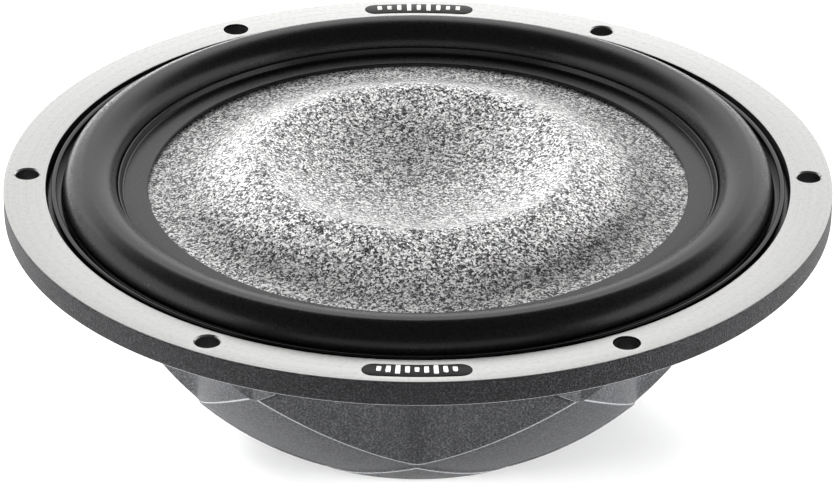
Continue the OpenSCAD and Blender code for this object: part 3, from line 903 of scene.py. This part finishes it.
def make_lead(name, side, braid, node):
    """A flexible braided lead. Its ends move with what they are joined to, and are a little thinner."""
    radius, end_radius, sides = 1.0, 0.75, 12
    spots = smooth_route([(x * side, y, z) for x, y, z in LEAD_ROUTE])
    deselect()
    bpy.ops.mesh.primitive_circle_add(vertices=sides, radius=1, fill_type="NGON")
    lead = bpy.context.object
    bpy.ops.object.mode_set(mode="EDIT")
    bpy.ops.mesh.select_all(action="SELECT")
    for number, spot in enumerate(spots):
        before, after = spots[max(number - 1, 0)], spots[min(number + 1, len(spots) - 1)]
        heading = (after - before).normalized()
        across = heading.cross(Vector((1, 0, 0))).normalized()
        up = heading.cross(across)
        if number:
            bpy.ops.mesh.extrude_region_move()
        shape = bmesh.from_edit_mesh(lead.data)
        chosen = [v for v in shape.verts if v.select]
        for place, vertex in enumerate(chosen):
            turn = math.tau * place / sides
            reach = end_radius if number in (0, len(spots) - 1) else radius
            vertex.co = (spot + reach * (math.cos(turn) * across + math.sin(turn) * up)) * MM
            vertex.co.z += FACE_Z
        bmesh.update_edit_mesh(lead.data)
    tidy_mesh(lead, 50)
    lead.name = name
    lead.data.materials.append(braid)
    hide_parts(node)
    start, end = spots[0], spots[-1]
    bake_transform(lead, BODY, MOVING, start=(0, start.y * MM, FACE_Z), end=(0, end.y * MM, FACE_Z))
    held = 2.0
    still_y, carried_y = start.y - held, end.y + held
    for vertex, weight in zip(lead.data.vertices, lead.data.attributes["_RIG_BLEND"].data):
        weight.value = eased((still_y - vertex.co.y / MM) / (still_y - carried_y))


# ---------------------------------------------------------------- badges

def make_badge(name, length, turn, lengths, plate_finish, mark_finish, node, marks_node):
    """A pill-shaped plate let into the flange, with a row of raised upright bars."""
    gap, proud = 0.12, 0.1
    bar_w, bar_h, bar_middle, ends = 1.15, 0.6, 0.4, 8.5
    plate = arc_pill(name, length - 2 * gap, BADGE_W - 2 * gap, BADGE_DEPTH, proud, turn)
    bevelled(plate, 0.3, 3)
    plate.data.materials.append(plate_finish)
    give(plate, name, BODY, "badge_plate", node)
    bars = []
    pitch = (length - ends) / (len(lengths) - 1)
    for i, tall in enumerate(lengths):
        deselect()
        bpy.ops.mesh.primitive_cube_add(size=1)
        bar = bpy.context.object
        bar.scale = (tall * MM, bar_w * MM, bar_h * MM)
        settle(bar)
        bevelled(bar, 0.18, 2)
        angle = turn + (i - (len(lengths) - 1) / 2) * pitch / BADGE_R
        bar.data.transform(Matrix.Translation((BADGE_R * MM, 0, FACE_Z + bar_middle * MM)))
        bar.data.transform(Matrix.Rotation(angle, 4, "Z"))
        bars.append(bar)
    marks = join(bars, name + "_marks")
    marks.data.materials.append(mark_finish)
    give(marks, name + "_marks", BODY, "badge_marks", marks_node)


# ---------------------------------------------------------------- the scene

make_camera()
make_studio()

finish = {
    "machined": machined_aluminium(),
    # Baked powder coat, thick and coarse: near black, with a pebbled grain.
    "rim_coat": powder_coat("coarse_powder_coat", ["#040405", "#0e0e0f", "#2a2a2c"], 0.48, 0.4, 0.22),
    # The same coat, thinner: dark grey, smooth, with a soft sheen.
    "bowl_coat": powder_coat("fine_powder_coat", ["#1a1b1c", "#29292b", "#434446"], 0.5, 0.08, 0.22),
    # A painted highlight: a pale line on chamfered edges and steps, where light catches them.
    "painted_edge_highlight": plain_finish("pale_painted_edge_highlight", ["#58595b", "#747577"], 0.45, 0.0, 0.6, 0.01),
    # Painted shade: the walls of the holes and badge seats in the flange, flat and black.
    "painted_hole_shade": plain_finish("painted_shade_in_holes", ["#101011", "#1a1a1b"], 0.6, 0.0, 1.0, 0.01),
    "rubber": moulded_rubber(),
    "fibre": speckled_fibre(),
    "gloss": gloss_black(),
    # Closed-cell foam, sliced: flat black with a fine open grain.
    "foam": plain_finish("closed_cell_foam", ["#121213", "#1c1c1d"], 0.9, 0.0, 0.6, 0.05),
    # Cotton dipped in resin and pressed: ochre and dull.
    "cotton": plain_finish("dipped_cotton", ["#b8913f", "#d2ab58"], 0.75, 0.0, 0.8, 0.05),
    # Aluminium plate, anodised dark: a soft low gleam.
    "badge": plain_finish("dark_anodised_plate", ["#101011", "#1c1c1d"], 0.38, 0.3, 0.5, 0.01),
    # Enamel printed thick: off-white and slightly glossy.
    "marks": plain_finish("pale_enamel_bars", ["#deded9", "#ecece8"], 0.35, 0.0, 0.5, 0.005),
}

KEPT = {
    # Nylon moulding: dark grey and slightly mottled.
    "coil_collar": plain_finish("moulded_nylon", ["#1c1c1d", "#28282a"], 0.55, 0.0, 0.8, 0.02),
    # Polyimide film, rolled: amber and glossy.
    "coil_former": plain_finish("amber_polyimide_film", ["#a9772a", "#c08a38"], 0.3, 0.0, 3.0, 0.005),
    # Copper wire in enamel, wound: a bright ridge for each turn.
    "coil_winding": wound_copper("enamelled_copper_wire", 0.4),
    # Copper foil, rolled: bright and warm.
    "lead_foils": plain_finish("rolled_copper_foil", ["#b0683c", "#c47c4c"], 0.32, 1.0, 1.5, 0.005),
    # Steel, phosphated black: dark with a dull metal sheen.
    "top_plate": plain_finish("black_phosphated_steel", ["#1d1e20", "#2c2d30"], 0.5, 0.6, 1.2, 0.015),
    # Ferrite, fired and ground: charcoal and stony.
    "magnet": plain_finish("ground_ferrite", ["#242528", "#36373a"], 0.65, 0.0, 0.6, 0.02),
    # Mild steel, turned: grey and reflective.
    "pole_piece": plain_finish("turned_low_carbon_steel", ["#4e5054", "#686a6e"], 0.36, 0.9, 0.5, 0.008),
    # Copper tube, turned: bright and warm.
    "shorting_ring": plain_finish("turned_copper_sleeve", ["#b46c42", "#c98458"], 0.3, 1.0, 0.5, 0.006),
    # Steel mesh, painted: black with a weak gleam.
    "vent_screen": plain_finish("black_painted_mesh", ["#101012", "#1a1a1c"], 0.5, 0.3, 0.8, 0.01),
    # Steel, zinc plated: pale grey and bright.
    "motor_screws": plain_finish("zinc_plated_steel", ["#85888c", "#a6a9ad"], 0.32, 1.0, 0.7, 0.006),
    # Nylon with glass fibre, moulded: black with a fine grain.
    "terminal_block": plain_finish("glass_filled_nylon", ["#161618", "#222224"], 0.5, 0.0, 0.5, 0.03),
    # Brass, gold plated: yellow and bright.
    "terminal_positive": plain_finish("gold_plated_brass", ["#c89a3c", "#d8b058"], 0.24, 1.0, 1.0, 0.004),
    # Brass, tin plated: silvery and bright.
    "terminal_negative": plain_finish("tin_plated_brass", ["#b8babd", "#cdcfd1"], 0.3, 1.0, 1.0, 0.004),
    # Vulcanised fibre, punched: dull dark red.
    "pin_insulators": plain_finish("red_fibre_washer", ["#5a1616", "#742222"], 0.6, 0.0, 0.5, 0.02),
}
SAME_FINISH = {"back_plate": "top_plate", "terminal_screws": "motor_screws"}

make_basket(finish)
make_surround(finish["rubber"])
make_cone(finish["fibre"])
make_clamp_ring(finish["gloss"])
make_gasket(finish["foam"])
make_spider(finish["cotton"])
# Both leads are tinsel wound round a thread: a ridge for each turn on copper, a plain grey sheen on tin.
make_lead("copper_lead", 1, wound_copper("copper_tinsel_braid", 0.7), "lead_positive")
make_lead("tinned_lead", -1, plain_finish("tinned_tinsel_braid", ["#8f9194", "#b4b6b9"], 0.4, 1.0, 0.4, 0.05),
          "lead_negative")
make_badge("front_plate", FRONT_BADGE_L, FRONT, [1.6, 2.4, 3.4, 2.4, 1.6, 2.4, 3.4, 2.4, 1.6],
           finish["badge"], finish["marks"], "front_badge", "front_badge_marks")
make_badge("rear_plate", REAR_BADGE_L, REAR, [1.6, 1.6, 2.6, 3.4, 2.6, 3.4, 2.6, 1.6, 1.6],
           finish["badge"], finish["marks"], "rear_badge", "rear_badge_marks")

for node in list(KEPT) + list(SAME_FINISH):
    piece = bpy.data.objects[node]
    piece.data.materials.clear()
    piece.data.materials.append(KEPT[SAME_FINISH.get(node, node)])

deselect()
bpy.ops.mesh.primitive_plane_add(size=2.6, location=(0, 0, 0))
floor = bpy.context.object
floor.name = "floor"
# White paper, with a little light of its own so that it stays white up to the backdrop.
floor.data.materials.append(plain_finish("pale_floor", ["#f6f6f6", "#fafafa"], 0.6, 0.0, 300, 0.0,
                                         Emission_Color=linear("#ffffff"), Emission_Strength=0.13))
